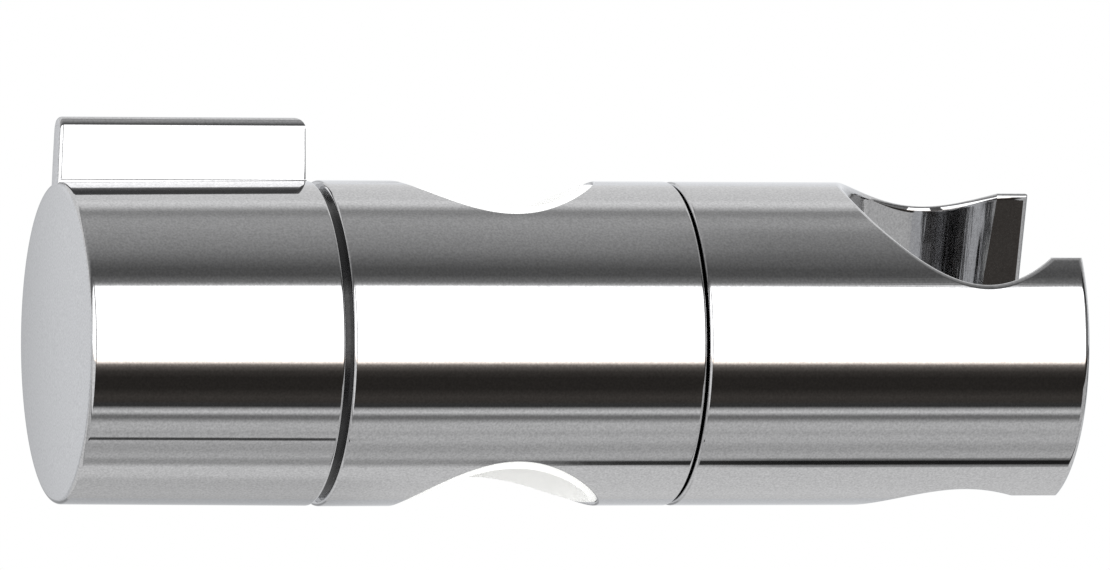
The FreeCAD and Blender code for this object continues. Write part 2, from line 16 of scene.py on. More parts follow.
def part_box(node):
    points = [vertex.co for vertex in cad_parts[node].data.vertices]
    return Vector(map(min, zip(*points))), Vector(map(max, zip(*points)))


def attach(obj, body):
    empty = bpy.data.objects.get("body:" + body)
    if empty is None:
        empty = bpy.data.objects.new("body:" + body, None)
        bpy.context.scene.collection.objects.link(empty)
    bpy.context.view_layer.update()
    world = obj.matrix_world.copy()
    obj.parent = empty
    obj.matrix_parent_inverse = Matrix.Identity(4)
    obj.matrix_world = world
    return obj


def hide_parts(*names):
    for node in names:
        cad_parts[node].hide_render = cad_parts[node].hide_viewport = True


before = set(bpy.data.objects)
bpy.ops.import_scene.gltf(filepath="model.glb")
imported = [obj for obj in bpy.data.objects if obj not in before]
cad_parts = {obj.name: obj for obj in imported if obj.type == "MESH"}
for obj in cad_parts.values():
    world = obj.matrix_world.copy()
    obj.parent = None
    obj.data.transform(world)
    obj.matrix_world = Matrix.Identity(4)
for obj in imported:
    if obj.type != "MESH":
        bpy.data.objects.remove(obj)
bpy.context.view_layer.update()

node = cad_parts
print("pieces in the frame:", len(node))

# %% [markdown]
# ## Sizes
#
# Shells of thin plated metal are bought as drawn cups or cast, so their outside sizes are the ones
# that matter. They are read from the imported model's boxes, which keeps every shell on the piece it
# stands for. Modelling goes on in millimetres, as in a drawing, and each finished shell is scaled
# to metres at the end.

# %% Outside sizes from the frame
MM = 0.001


def box_mm(name):
    """Lowest and highest corner of a CAD node, in millimetres."""
    return [[value / MM for value in corner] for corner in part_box(name)]


body_box, knob_box, holder_box = box_mm("body_shell"), box_mm("knob_shell"), box_mm("holder_shell")
body_left, body_right = body_box[0][0], body_box[1][0]
body_radius = body_box[1][2]
knob_tip, knob_right = knob_box[0][0], knob_box[1][0]
fin_top = knob_box[1][2]
holder_left, holder_right = holder_box[0][0], holder_box[1][0]
print("body", round(body_left, 2), round(body_right, 2), "radius", round(body_radius, 2))
print("knob", round(knob_tip, 2), round(knob_right, 2), "fin top", round(fin_top, 2))
print("holder", round(holder_left, 2), round(holder_right, 2))

# %% [markdown]
# ## Hand tools
#
# Every shell is turned from a bar and cut with simple tools, as on a lathe and a mill. A few small
# functions stand for those moves: a bar along X, a block, a cut, a choice of edges and a rounding.
# The edges are chosen by their place, since that still holds when a size changes.

# %% Bars, blocks and cuts
SIDES = 384
HOLE_SIDES = 256
THIN_BAR_SIDES = 64


def only(piece):
    """Leaves one piece selected and active, in object mode."""
    if bpy.context.object and bpy.context.object.mode != "OBJECT":
        bpy.ops.object.mode_set(mode="OBJECT")
    bpy.ops.object.select_all(action="DESELECT")
    piece.select_set(True)
    bpy.context.view_layer.objects.active = piece
    return piece


def settle(piece):
    """Moves the object's place, turn and scale into its mesh."""
    only(piece)
    bpy.ops.object.transform_apply(location=True, rotation=True, scale=True)
    return piece


def turned_to(piece, degrees, axis):
    """Turns a piece about one axis through the origin."""
    only(piece)
    piece.rotation_euler = [math.radians(degrees) if a == axis else 0 for a in "XYZ"]
    return settle(piece)


def bar(name, x_from, x_to, radius, far_radius=None, sides=SIDES):
    """Round bar along X, which may taper to a far radius."""
    bpy.ops.object.select_all(action="DESELECT")
    bpy.ops.mesh.primitive_cone_add(
        vertices=sides, radius1=radius, radius2=radius if far_radius is None else far_radius,
        depth=x_to - x_from, location=((x_from + x_to) / 2, 0, 0), rotation=(0, math.pi / 2, 0))
    bpy.context.object.name = name
    return settle(bpy.context.object)


def block(name, low, high):
    """Box between two corners."""
    bpy.ops.object.select_all(action="DESELECT")
    bpy.ops.mesh.primitive_cube_add(size=1, location=[(a + b) / 2 for a, b in zip(low, high)])
    piece = bpy.context.object
    piece.name = name
    piece.scale = [b - a for a, b in zip(low, high)]
    return settle(piece)


def join_or_cut(piece, tool, how="DIFFERENCE"):
    """Cuts a piece with a tool, or joins the two. The tool is used up."""
    boolean = piece.modifiers.new("cut", "BOOLEAN")
    boolean.operation = how
    boolean.solver = "EXACT"
    boolean.object = tool
    only(piece)
    bpy.ops.object.modifier_apply(modifier=boolean.name)
    bpy.data.objects.remove(tool)
    return piece


# %% Choosing and rounding edges
def round_edges(piece, wanted, radius, steps):
    """Rounds the edges whose middle and two face normals are wanted. Returns how many."""
    only(piece)
    bpy.ops.object.mode_set(mode="EDIT")
    bpy.ops.mesh.select_mode(type="EDGE")
    bpy.ops.mesh.select_all(action="DESELECT")
    mesh = bmesh.from_edit_mesh(piece.data)
    chosen = 0
    for edge in mesh.edges:
        if len(edge.link_faces) == 2:
            first, second = (face.normal for face in edge.link_faces)
            ends = [vert.co for vert in edge.verts]
            if wanted((ends[0] + ends[1]) / 2, first, second, ends):
                edge.select_set(True)
                chosen += 1
    bmesh.update_edit_mesh(piece.data)
    bpy.ops.mesh.bevel(offset=radius, segments=steps, profile=0.5, clamp_overlap=False)
    bpy.ops.object.mode_set(mode="OBJECT")
    return chosen


FLAT_TO_ROUND = 0.05
CORNER = 0.5
FACING = 0.99


def at_end(first, second):
    """True where a bar's flat end meets its round side."""
    return abs(abs(first.x) + abs(second.x) - 1) < FLAT_TO_ROUND


# %% Smoothing, scaling and measuring
def finish_shell(piece, smooth_angle=30, weight=50):
    """Smooth shading with crisp seams, and the scale to metres."""
    only(piece)
    bpy.ops.object.shade_smooth_by_angle(angle=math.radians(smooth_angle))
    normals = piece.modifiers.new("normals", "WEIGHTED_NORMAL")
    normals.mode = "FACE_AREA"
    normals.weight = weight
    normals.keep_sharp = True
    bpy.ops.object.modifier_apply(modifier=normals.name)
    piece.scale = (MM, MM, MM)
    return settle(piece)


def measure(piece):
    """Prints triangles and open edges of a piece."""
    mesh = bmesh.new()
    mesh.from_mesh(piece.data)
    triangles = sum(len(face.verts) - 2 for face in mesh.faces)
    loose = sum(1 for edge in mesh.edges if len(edge.link_faces) != 2)
    mesh.free()
    print(piece.name, "triangles", triangles, "open edges", loose)


# %% [markdown]
# ## Tools with a flared mouth
#
# A hole across a round bar has an edge that runs in a saddle, and the polishing wheel rounds it.
# In places that edge runs along the bar and meets its skin at a sharp angle, where a bevel
# tangles with the facets. So the cutting tool carries the round: outlines are laid on
# bars of growing radius and bridged, and the cut leaves the finished edge behind.

# %% Lay outlines on bars and bridge them
reach = 1.0
near = 0.03
half_depth = 2 * body_radius
GAUGE_REACH = 150.0
MOUTH_STEPS = 9
LAST_STEP_DEG = 82


def laid_outline(sides, centre_x, halves, height, gauge_radius=None):
    """Closed outline at a height, dropped along Z on a round bar if a radius is given."""
    corner = math.sqrt(2) if sides == 4 else 1
    bpy.ops.object.select_all(action="DESELECT")
    bpy.ops.mesh.primitive_circle_add(vertices=sides, radius=corner, fill_type="NOTHING",
                                      rotation=(0, 0, math.pi / 4 if sides == 4 else 0))
    outline = settle(bpy.context.object)
    outline.scale = (*halves, 1)
    outline.location = (centre_x, 0, height)
    settle(outline)
    if gauge_radius:
        gauge = bar("gauge", -GAUGE_REACH, GAUGE_REACH, gauge_radius, sides=2 * SIDES)
        lay = outline.modifiers.new("lay", "SHRINKWRAP")
        lay.wrap_method = "PROJECT"
        lay.use_project_z = True
        lay.use_negative_direction = True
        lay.target = gauge
        only(outline)
        bpy.ops.object.modifier_apply(modifier=lay.name)
        bpy.data.objects.remove(gauge)
    return outline


def bridge_to(tool, outline=None):
    """Bridges the tool's open end to a new outline, or closes it."""
    only(tool)
    if outline:
        outline.select_set(True)
        bpy.ops.object.join()
    bpy.ops.object.mode_set(mode="EDIT")
    bpy.ops.mesh.select_mode(type="EDGE")
    bpy.ops.mesh.select_all(action="DESELECT")
    mesh = bmesh.from_edit_mesh(tool.data)
    for edge in mesh.edges:
        edge.select_set(len(edge.link_faces) < 2)
    bmesh.update_edit_mesh(tool.data)
    if outline:
        bpy.ops.mesh.bridge_edge_loops()
    else:
        bpy.ops.mesh.edge_face_add()
        bpy.ops.mesh.select_all(action="SELECT")
        bpy.ops.mesh.normals_make_consistent(inside=False)
    bpy.ops.object.mode_set(mode="OBJECT")
    return tool


def flared_tool(name, sides, centre_x, half_x, half_y, round_size):
    """Cutter through the bar along Z whose two ends flare out with the mouth's round."""
    flare = []
    for side in (-1, 1):
        rings = []
        for step in range(MOUTH_STEPS):
            turn = math.radians(LAST_STEP_DEG * step / (MOUTH_STEPS - 1))
            grown = round_size * (1 - math.cos(turn))
            rings.append((side, grown, body_radius - round_size * (1 - math.sin(turn))))
        out, rise = reach * math.sin(turn), reach * math.cos(turn)
        rings.append((side, grown + out, body_radius + rise))
        rings.append((side, grown + out, None))
        flare += rings if side == 1 else rings[::-1]
    tool = None
    for side, grown, gauge_radius in flare:
        outline = laid_outline(sides, centre_x, (half_x[side] + grown, half_y[side] + grown),
                               side * half_depth, gauge_radius)
        if tool:
            bridge_to(tool, outline)
        else:
            tool = outline
            only(tool)
            bpy.ops.object.mode_set(mode="EDIT")
            bpy.ops.mesh.select_all(action="SELECT")
            bpy.ops.mesh.edge_face_add()
            bpy.ops.object.mode_set(mode="OBJECT")
    bridge_to(tool)
    tool.name = name
    return tool


# %% [markdown]
# ## The body's sleeve
#
# The sleeve is a drawn brass tube with the rail hole milled through it, polished and then plated.
# A bar cut across by the flared tool leaves the saddle-shaped edge of the real one, already
# rounded, and the inside is bored afterwards as on a lathe.

# %% Model the sleeve
rail_hole_radius = 10.45
sleeve_bore = 14.75
sleeve_floor = 16.4
sleeve_mouth = 13.2
saddle_round = 0.2
rim_round = 0.35
RIM_STEPS = 5
END_STEPS = 6

sleeve = bar("chrome_sleeve", body_left, body_right, body_radius)
round_edges(sleeve, lambda middle, first, second, ends: at_end(first, second),
            rim_round, RIM_STEPS)
both_ways = {1: rail_hole_radius, -1: rail_hole_radius}
rail_hole = flared_tool("rail_hole", SIDES, 0, both_ways, both_ways, saddle_round)
join_or_cut(sleeve, rail_hole)
join_or_cut(sleeve, bar("sleeve_bore", body_left - reach, sleeve_floor, sleeve_bore))
join_or_cut(sleeve, bar("sleeve_mouth", 0, body_right + reach, sleeve_mouth))
measure(finish_shell(sleeve))

# %% [markdown]
# ## The lever knob
#
# The knob is a cast cup with a fin along its top for the thumb. Its end is slightly domed, which
# bends the reflections just enough to tell it from a flat plate. The dome is raised on the bar's
# end cap by insets, ring after ring, which keeps the rings even, so that the rim can be
# rounded cleanly. A sphere could cut it too, but its facets would cross those of the drum.

# %% Model the drum
dome_rise = 0.4
dome_rings = 16
drum_step = 0.05
drum_draft = 0.2
cup_wall = 1.8
cup_floor = 1.7
dome_round = 0.5

knob_left = knob_tip + dome_rise
drum_radius = body_radius - drum_step
drum_tip_radius = drum_radius - drum_draft
dome_radius = (drum_tip_radius ** 2 + dome_rise ** 2) / (2 * dome_rise)


def pick_faces(piece, wanted):
    """Edit mode with the faces selected whose centre and normal are wanted."""
    only(piece)
    bpy.ops.object.mode_set(mode="EDIT")
    bpy.ops.mesh.select_mode(type="FACE")
    bpy.ops.mesh.select_all(action="DESELECT")
    mesh = bmesh.from_edit_mesh(piece.data)
    for face in mesh.faces:
        face.select_set(bool(wanted(face.calc_center_median(), face.normal)))
    bmesh.update_edit_mesh(piece.data)


def dome_depth(radius):
    """How far the dome has fallen back from its tip at a radius."""
    return dome_radius - math.sqrt(dome_radius ** 2 - radius ** 2)


knob = bar("chrome_knob", knob_left, knob_right, drum_tip_radius, drum_radius)
round_edges(knob, lambda middle, first, second, ends:
            middle.x > knob_right - near and at_end(first, second), rim_round, RIM_STEPS)
pick_faces(knob, lambda centre, normal: normal.x < -FACING)
ring_step = drum_tip_radius / (dome_rings + 1)
for ring in range(dome_rings):
    outer = drum_tip_radius - ring * ring_step
    rise = dome_depth(outer) - dome_depth(outer - ring_step)
    bpy.ops.mesh.inset(thickness=ring_step, depth=rise)
bpy.ops.object.mode_set(mode="OBJECT")
join_or_cut(knob, bar("cup", knob_left + cup_floor, knob_right + reach, drum_radius - cup_wall))
rim = round_edges(knob, lambda middle, first, second, ends:
                  abs(middle.x - knob_left) < near and abs(first.x - second.x) > CORNER,
                  dome_round, END_STEPS)
print("rim edges", rim, "dome radius", round(dome_radius, 1))

# %% [markdown]
# ## The fin
#
# The fin has soft outlines: a rounded ridge with a slight draft, a rounded corner on the
# body's side, and rounded uprights. Rounding one block's edges in turn breaks where three
# rounds meet, so each outline is rounded on a block of its own and the blocks are crossed.
# A wide drum across the fin gives its left end the same sweep as the dome.

# %% Cross the fin's outlines and join it
fin_thickness = 3.0
fin_setback = 0.25
fin_corner = 1.1
fin_ridge = 1.25
fin_taper = 0.90
fin_foot = 15.0
fin_inset = 0.02
upright_round = 0.45
UPRIGHT_STEPS = 4
OUTLINE_STEPS = 8
DOME_SIDES = 2048
fin_right = knob_right - fin_setback
fin_half = fin_thickness / 2
past = 2 * reach

fin = block("fin", (knob_tip - past, -fin_half, fin_foot), (fin_right + past, fin_half, fin_top))
pick_faces(fin, lambda centre, normal: normal.z > FACING)
bpy.ops.transform.resize(value=(1, fin_taper, 1))
bpy.ops.object.mode_set(mode="OBJECT")
round_edges(fin, lambda middle, first, second, ends:
            middle.z > fin_top - near and abs(ends[0].x - ends[1].x) > past,
            fin_ridge, OUTLINE_STEPS)
side_outline = block("side", (knob_tip - past, -past, 0), (fin_right, past, fin_top))
round_edges(side_outline, lambda middle, first, second, ends:
            middle.x > fin_right - near and middle.z > fin_top - near,
            fin_corner, OUTLINE_STEPS)
join_or_cut(fin, side_outline, "INTERSECT")
bpy.ops.object.select_all(action="DESELECT")
bpy.ops.mesh.primitive_cylinder_add(
    vertices=DOME_SIDES, radius=dome_radius, depth=2 * past, rotation=(math.pi / 2, 0, 0),
    location=(knob_tip + fin_inset + dome_radius, 0, 0))
join_or_cut(fin, settle(bpy.context.object), "INTERSECT")


def on_upright(middle, first, second, ends):
    """Edges round the fin's left end, and the two uprights at its right end."""
    at_left = middle.x < knob_left + reach and abs(first.x - second.x) > CORNER
    at_right = middle.x > fin_right - near and abs(first.x - second.x) > CORNER
    return at_left or (at_right and abs(ends[0].z - ends[1].z) > reach)


print("uprights", round_edges(fin, on_upright, upright_round, UPRIGHT_STEPS))
measure(fin)
join_or_cut(knob, fin, "UNION")

# %% [markdown]
# ## The fin's foot
#
# Where the fin grows out of the drum, the casting has a small fillet, which shows as a thin line.
# It is a low block along the fin's foot, hollowed on both sides by a thin bar. The bar
# dips a hair into both surfaces, so that the fillet ends in them cleanly.

# %% Add the foot's fillet
foot_fillet = 0.13
dip = 0.004
hollow_y = fin_half + foot_fillet
hollow_z = math.sqrt((drum_radius + foot_fillet) ** 2 - hollow_y ** 2)
foot = block("foot", (knob_left + reach / 3, -hollow_y, fin_foot),
             (fin_right - dip, hollow_y, hollow_z))
for side in (-1, 1):
    hollow = bar("hollow", knob_tip - past, knob_right + past, foot_fillet,
                 sides=THIN_BAR_SIDES)
    hollow.location = (0, side * (hollow_y - dip), hollow_z - dip)
    join_or_cut(foot, settle(hollow))
join_or_cut(knob, foot, "UNION")
measure(finish_shell(knob))

# %% [markdown]
# ## The handset holder
#
# The holder is a casting with a tapered seat bored across it and a slot from the seat to its end,
# so that the hose can slip in from the side. Seat and slot are cut by flared tools of the same
# round, so that the rounds meet at the horns, and the uprights at its end are rounded by a block
# that is hollowed by two posts.

# %% Bore the seat and the slot
seat_centre = 47.47
seat_radii = {1: 11.85, -1: 10.9}
slot_half = 9.6
mouth_round = 0.85
head_bore = 5.3
head_seat = 26.0
cavity_right = 26.1
cavity_radius = 14.0
end_round = 0.7
upright_end_round = 0.6
holder_tilt = 22.4

fork = bar("chrome_fork", holder_left, holder_right, body_radius)
middle_x = (holder_left + holder_right) / 2
round_edges(fork, lambda middle, first, second, ends:
            at_end(first, second) and middle.x > middle_x, end_round, END_STEPS)
round_edges(fork, lambda middle, first, second, ends:
            at_end(first, second) and middle.x < middle_x, rim_round, RIM_STEPS)
seat = flared_tool("seat", SIDES, seat_centre, seat_radii, seat_radii, mouth_round)
measure(seat)
join_or_cut(fork, seat)
slot_reach = 2 * body_radius
slot = flared_tool("slot", 4, seat_centre + slot_reach,
                   {1: slot_reach, -1: slot_reach}, {1: slot_half, -1: slot_half}, mouth_round)
measure(slot)
join_or_cut(fork, slot)
print("seat from", round(seat_centre - seat_radii[1], 2), "to the end", round(holder_right, 2))
measure(fork)

# %% Round the uprights at its end
upright_x = holder_right - upright_end_round
upright_y = slot_half + upright_end_round
corner_tool = block("corners", (upright_x, -upright_y, -half_depth),
                    (holder_right + reach, upright_y, half_depth))
for side in (-1, 1):
    post = bar("post", -2 * half_depth, 2 * half_depth, upright_end_round, sides=THIN_BAR_SIDES)
    turned_to(post, 90, "Y")
    post.location = (upright_x, side * upright_y, 0)
    join_or_cut(corner_tool, settle(post))
join_or_cut(fork, corner_tool)
join_or_cut(fork, bar("head_bore", head_seat, seat_centre, head_bore, sides=HOLE_SIDES))
join_or_cut(fork, bar("cavity", 0, cavity_right, cavity_radius))
measure(fork)

# %% [markdown]
# ## The pivot's hub
#
# Inside the holder's left end sits the hub that turns on the pivot bolt. It is part of the
# casting, so it is joined to the shell, and the whole is tilted to the pose of the photograph.

# %% Add the hub and tilt the holder
hub_left = 18.6
hub_radius = 10.61
hub_bore = 9.01

hub = bar("hub", hub_left, cavity_right + reach / 2, hub_radius)
join_or_cut(hub, bar("hub_bore", 0, half_depth, hub_bore))
join_or_cut(fork, hub, "UNION")
turned_to(fork, holder_tilt, "X")
measure(finish_shell(fork))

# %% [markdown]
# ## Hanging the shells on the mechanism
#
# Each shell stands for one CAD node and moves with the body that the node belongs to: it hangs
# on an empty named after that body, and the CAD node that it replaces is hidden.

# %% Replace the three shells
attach(sleeve, "body")
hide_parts("body_shell")
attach(knob, "lever_knob")
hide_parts("knob_shell")
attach(fork, "handset_holder")
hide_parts("holder_shell")
shells = [sleeve, knob, fork]
print("shells", [shell.name for shell in shells])

# %% [markdown]
# ## Tools for materials
#
# A finish is a Principled shader with a few nodes in front of it. Colours are written as the
# familiar hex values and turned to linear light by one function, and one function adds a node.

# %% Colour and node helpers
def linear(hex_colour):
    """Turns an sRGB hex value to linear light."""
    out = []
    for start in (1, 3, 5):
        value = int(hex_colour[start:start + 2], 16) / 255
        out.append(value / 12.92 if value <= 0.04045 else ((value + 0.055) / 1.055) ** 2.4)
    return (*out, 1.0)


def add_node(tree, kind, settings=(), inputs=()):
    """Adds a node. An input is a plain value, or another node's output to link."""
    new = tree.nodes.new(kind)
    for name, value in dict(settings).items():
        setattr(new, name, value)
    for name, value in dict(inputs).items():
        if isinstance(value, bpy.types.NodeSocket):
            tree.links.new(value, new.inputs[name])
        else:
            new.inputs[name].default_value = value
    return new


def start_material(name, metallic, roughness):
    """Material with its shader and the piece's own coordinates. Returns all four."""
    material = bpy.data.materials.new(name)
    material.use_nodes = True
    tree = material.node_tree
    shader = tree.nodes["Principled BSDF"]
    shader.inputs["Metallic"].default_value = metallic
    shader.inputs["Roughness"].default_value = roughness
    place = add_node(tree, "ShaderNodeTexCoord").outputs["Object"]
    return material, tree, shader, place


# A noise has nearly all its values between these two.
NOISE_LOW, NOISE_HIGH = 0.3, 0.7


def dress(tree, shader, cloud, tones, wear=None, roughness_range=None, relief=None, depth_mm=0):
    """Two tones from a cloud, roughness from a wear map and bump from a relief map."""
    ramp = add_node(tree, "ShaderNodeValToRGB", {}, {"Fac": cloud})
    for stop, position, tone in zip(ramp.color_ramp.elements, (NOISE_LOW, NOISE_HIGH), tones):
        stop.position, stop.color = position, linear(tone)
    tree.links.new(ramp.outputs["Color"], shader.inputs["Base Color"])
    if wear:
        rough = add_node(tree, "ShaderNodeMapRange", {}, {
            "Value": wear, "From Min": NOISE_LOW, "From Max": NOISE_HIGH,
            "To Min": roughness_range[0], "To Max": roughness_range[1]})
        tree.links.new(rough.outputs["Result"], shader.inputs["Roughness"])
    if relief:
        bump = add_node(tree, "ShaderNodeBump", {}, {
            "Height": relief, "Distance": depth_mm * MM, "Strength": 1.0})
        tree.links.new(bump.outputs["Normal"], shader.inputs["Normal"])


# %% [markdown]
# ## Plated chrome
#
# Bright chromium over nickel on polished brass: a mirror with a faint blue cast. Under the
# plating, the polishing leaves a very fine unevenness, which makes the reflections look slightly
# grainy and lets the edges of bright ones sparkle. So the colour and the roughness change a
# little from spot to spot, and a shallow bump moves the reflections by a hair.

# %% Chrome
# Size in millimetres and detail of the polish's grain, its cloudy sheen and its ripple.
POLISH_MAPS = ((0.22, 3.0), (3.0, 2.0), (0.9, 2.0))
RIPPLE_DEPTH_MM = 0.0004
chrome, tree, shader, place = start_material("plated_chrome_polished", 1.0, 0.03)
polish, sheen, ripple = (add_node(tree, "ShaderNodeTexNoise", {}, {
    "Vector": place, "Scale": 1 / (size_mm * MM), "Detail": detail}).outputs["Fac"]
    for size_mm, detail in POLISH_MAPS)
shader.inputs["Base Color"].default_value = linear("#C5C5C6")
dress(tree, shader, polish, ("#B6B6B7", "#D2D2D3"), sheen, (0.022, 0.045),
      ripple, RIPPLE_DEPTH_MM)
print("made", chrome.name)

# %% [markdown]
# ## Chrome in the bore
#
# A polishing wheel doesn't reach far into the holder's seat, so the bore keeps fine lines along
# its axis and a slight waviness under the plating. The holder gets a copy of the chrome
# in which these two fade in below the skin, measured from the slider's axis. The horns' end
# faces are polished like the skin, so the bored finish fades out again before them.

# %% Chrome with a bored inside
SKIN_FROM_MM, SKIN_TO_MM = 15.2, 15.8
SEAT_FROM_MM = 33.0
END_FADE_FROM_MM, END_FADE_TO_MM = holder_right - 0.9, holder_right - 0.7
ADDED_ROUGHNESS = 0.06
LINE_WIDTH_MM, LINE_STRETCH, LINE_DEPTH_MM = 0.30, 0.03, 0.010
WAVE_WIDTH_MM, WAVE_DEPTH_MM = 3.5, 0.03
bored = chrome.copy()
bored.name = "plated_chrome_as_bored"
tree = bored.node_tree
shader = tree.nodes["Principled BSDF"]
place = add_node(tree, "ShaderNodeTexCoord").outputs["Object"]
across = add_node(tree, "ShaderNodeVectorMath", {"operation": "MULTIPLY"},
                  {0: place, 1: (0, 1, 1)}).outputs[0]
from_axis = add_node(tree, "ShaderNodeVectorMath", {"operation": "LENGTH"},
                     {0: across}).outputs["Value"]
inside = add_node(tree, "ShaderNodeMapRange", {}, {
    "Value": from_axis, "From Min": SKIN_FROM_MM * MM, "From Max": SKIN_TO_MM * MM,
    "To Min": 1.0, "To Max": 0.0}).outputs["Result"]
along_x = add_node(tree, "ShaderNodeSeparateXYZ", {}, {"Vector": place}).outputs["X"]
past_head = add_node(tree, "ShaderNodeMath", {"operation": "GREATER_THAN"},
                     {0: along_x, 1: SEAT_FROM_MM * MM}).outputs[0]
before_end = add_node(tree, "ShaderNodeMapRange", {}, {
    "Value": along_x, "From Min": END_FADE_FROM_MM * MM, "From Max": END_FADE_TO_MM * MM,
    "To Min": 1.0, "To Max": 0.0}).outputs["Result"]
in_bore = add_node(tree, "ShaderNodeMath", {"operation": "MULTIPLY"},
                   {0: inside, 1: past_head}).outputs[0]
in_seat = add_node(tree, "ShaderNodeMath", {"operation": "MULTIPLY"},
                   {0: in_bore, 1: before_end}).outputs[0]
upright = add_node(tree, "ShaderNodeVectorRotate", {"rotation_type": "X_AXIS"}, {
    "Vector": place, "Angle": math.radians(-holder_tilt)}).outputs[0]
drawn_out = add_node(tree, "ShaderNodeVectorMath", {"operation": "MULTIPLY"},
                     {0: upright, 1: (1, 1, LINE_STRETCH)}).outputs[0]
lines, waves = (add_node(tree, "ShaderNodeTexNoise", {}, {
    "Vector": vector, "Scale": 1 / (size_mm * MM), "Detail": detail}).outputs["Fac"]
    for vector, size_mm, detail in ((drawn_out, LINE_WIDTH_MM, 3.0), (place, WAVE_WIDTH_MM, 1.0)))
base_roughness = shader.inputs["Roughness"].links[0].from_socket
rough = add_node(tree, "ShaderNodeMath", {"operation": "MULTIPLY_ADD"},
                 {0: in_seat, 1: ADDED_ROUGHNESS, 2: base_roughness}).outputs[0]
tree.links.new(rough, shader.inputs["Roughness"])
base_normal = shader.inputs["Normal"].links[0].from_socket
first_bump = add_node(tree, "ShaderNodeBump", {}, {
    "Height": lines, "Strength": in_seat, "Distance": LINE_DEPTH_MM * MM,
    "Normal": base_normal})
second_bump = add_node(tree, "ShaderNodeBump", {}, {
    "Height": waves, "Strength": in_seat, "Distance": WAVE_DEPTH_MM * MM,
    "Normal": first_bump.outputs["Normal"]})
tree.links.new(second_bump.outputs["Normal"], shader.inputs["Normal"])
print("made", bored.name)

# %% [markdown]
# ## Moulded plastics
#
# The black pieces are glass-filled nylon, which comes from a polished mould with a fine satin
# grain. The liners of the rail hole are unfilled white nylon, waxy and a little duller. The
# pivot's bush is grey acetal, between the two. All share one recipe with their own colours,
# grain size and roughness.

# %% Nylon and acetal
PLASTIC_IOR = 1.53
CLOUD_TO_GRAIN = 12
MOULD_SPREAD = 0.06


def moulded(name, dark, light, roughness, grain_mm, depth_mm):
    """Moulded plastic with a fine grain and a soft cloud in its colour."""
    material, tree, shader, place = start_material(name, 0.0, roughness)
    mould, cloud = (add_node(tree, "ShaderNodeTexNoise", {}, {
        "Vector": place, "Scale": 1 / (size_mm * MM), "Detail": 2.0}).outputs["Fac"]
        for size_mm in (grain_mm, CLOUD_TO_GRAIN * grain_mm))
    dress(tree, shader, cloud, (dark, light), mould,
          (roughness - MOULD_SPREAD, roughness + MOULD_SPREAD), mould, depth_mm)
    shader.inputs["IOR"].default_value = PLASTIC_IOR
    print("made", name)
    return material


black_nylon = moulded("black_nylon_moulded", "#131314", "#1B1B1D", 0.26, 0.35, 0.003)
white_nylon = moulded("white_nylon_moulded", "#F6F6F4", "#FBFBFA", 0.38, 0.5, 0.004)
grey_acetal = moulded("grey_acetal_moulded", "#8E8F90", "#A0A1A1", 0.34, 0.5, 0.003)

# %% [markdown]
# ## Rubber
#
# The shoe's pad and the journal's seal are moulded rubber. It is dull and nearly black,
# with a dusty bloom in soft patches that lifts the colour, so a coarser cloud lightens it.

# %% Rubber
black_rubber = moulded("black_rubber_moulded", "#131313", "#242424", 0.72, 0.6, 0.015)

# %% [markdown]
# ## Turned brass
#
# The drive screw and the pivot's insert are turned on a lathe, and the tool leaves rings round
# the axis about every 0.15 mm. Rings about X come from the X coordinate alone, so a wave along X
# gives them in bump and in roughness, with a little noise so that no two passes are alike.

# %% Brass and steel
STAIN_MM = 1.5


def machined(name, dark, light, roughness, pitch_mm, depth_mm):
    """Metal turned about X, with the rings that the lathe tool leaves."""
    material, tree, shader, place = start_material(name, 1.0, roughness)
    rings = add_node(tree, "ShaderNodeTexWave", {
        "wave_type": "BANDS", "bands_direction": "X", "wave_profile": "SIN"}, {
        "Vector": place, "Scale": math.pi / (10 * pitch_mm * MM), "Distortion": 0.6,
        "Detail": 2.0, "Detail Scale": 1.5}).outputs["Fac"]
    stain = add_node(tree, "ShaderNodeTexNoise", {}, {
        "Vector": place, "Scale": 1 / (STAIN_MM * MM), "Detail": 2.0}).outputs["Fac"]
    dress(tree, shader, stain, (dark, light), rings, (roughness - 0.05, roughness + 0.08),
          rings, depth_mm)
    print("made", name)
    return material


turned_brass = machined("brass_turned", "#B8923F", "#D2AE62", 0.26, 0.15, 0.004)

# %% [markdown]
# ## Zinc-plated steel
#
# Screws, washers, spring and pins are steel with a bright zinc coat, which is cooler and duller
# than chrome and has soft cloudy spangle. The rings of turning still show through it, finer.

# %% Steel
zinc_steel = machined("zinc_plated_steel", "#A9ADB3", "#C3C6CB", 0.33, 0.12, 0.003)

# %% Give every piece its finish
finishes = {
    "plated_chrome": chrome,
    "black_nylon": black_nylon,
    "white_nylon": white_nylon,
    "grey_acetal": grey_acetal,
    "turned_brass": turned_brass,
    "zinc_steel": zinc_steel,
    "black_rubber": black_rubber,
}
for name, piece in node.items():
    for index, old in enumerate(piece.data.materials):
        piece.data.materials[index] = finishes[old.name.split(".")[0]]
for shell in shells:
    shell.data.materials.clear()
    shell.data.materials.append(bored if shell is fork else chrome)
print("finishes", len(finishes), "on", len(node), "pieces and", len(shells), "shells")

# %% [markdown]
# ## The camera
#
# The photograph is taken from the left and a little below with a long lens, so the bar hardly
# narrows to the right. The camera stands 1.3 m away, and its turn is written as the three
# angles that a tripod head has: pan, tilt and roll.

# %% Place the camera
IMAGE_WIDTH = 1110
FOCAL_PIXELS = 13000
SENSOR_MM = 36
camera_place = Vector((-0.3315, -1.2553, -0.0675))
pan, tilt, roll = (math.radians(degrees) for degrees in (15.08, 3.2295, -0.745))

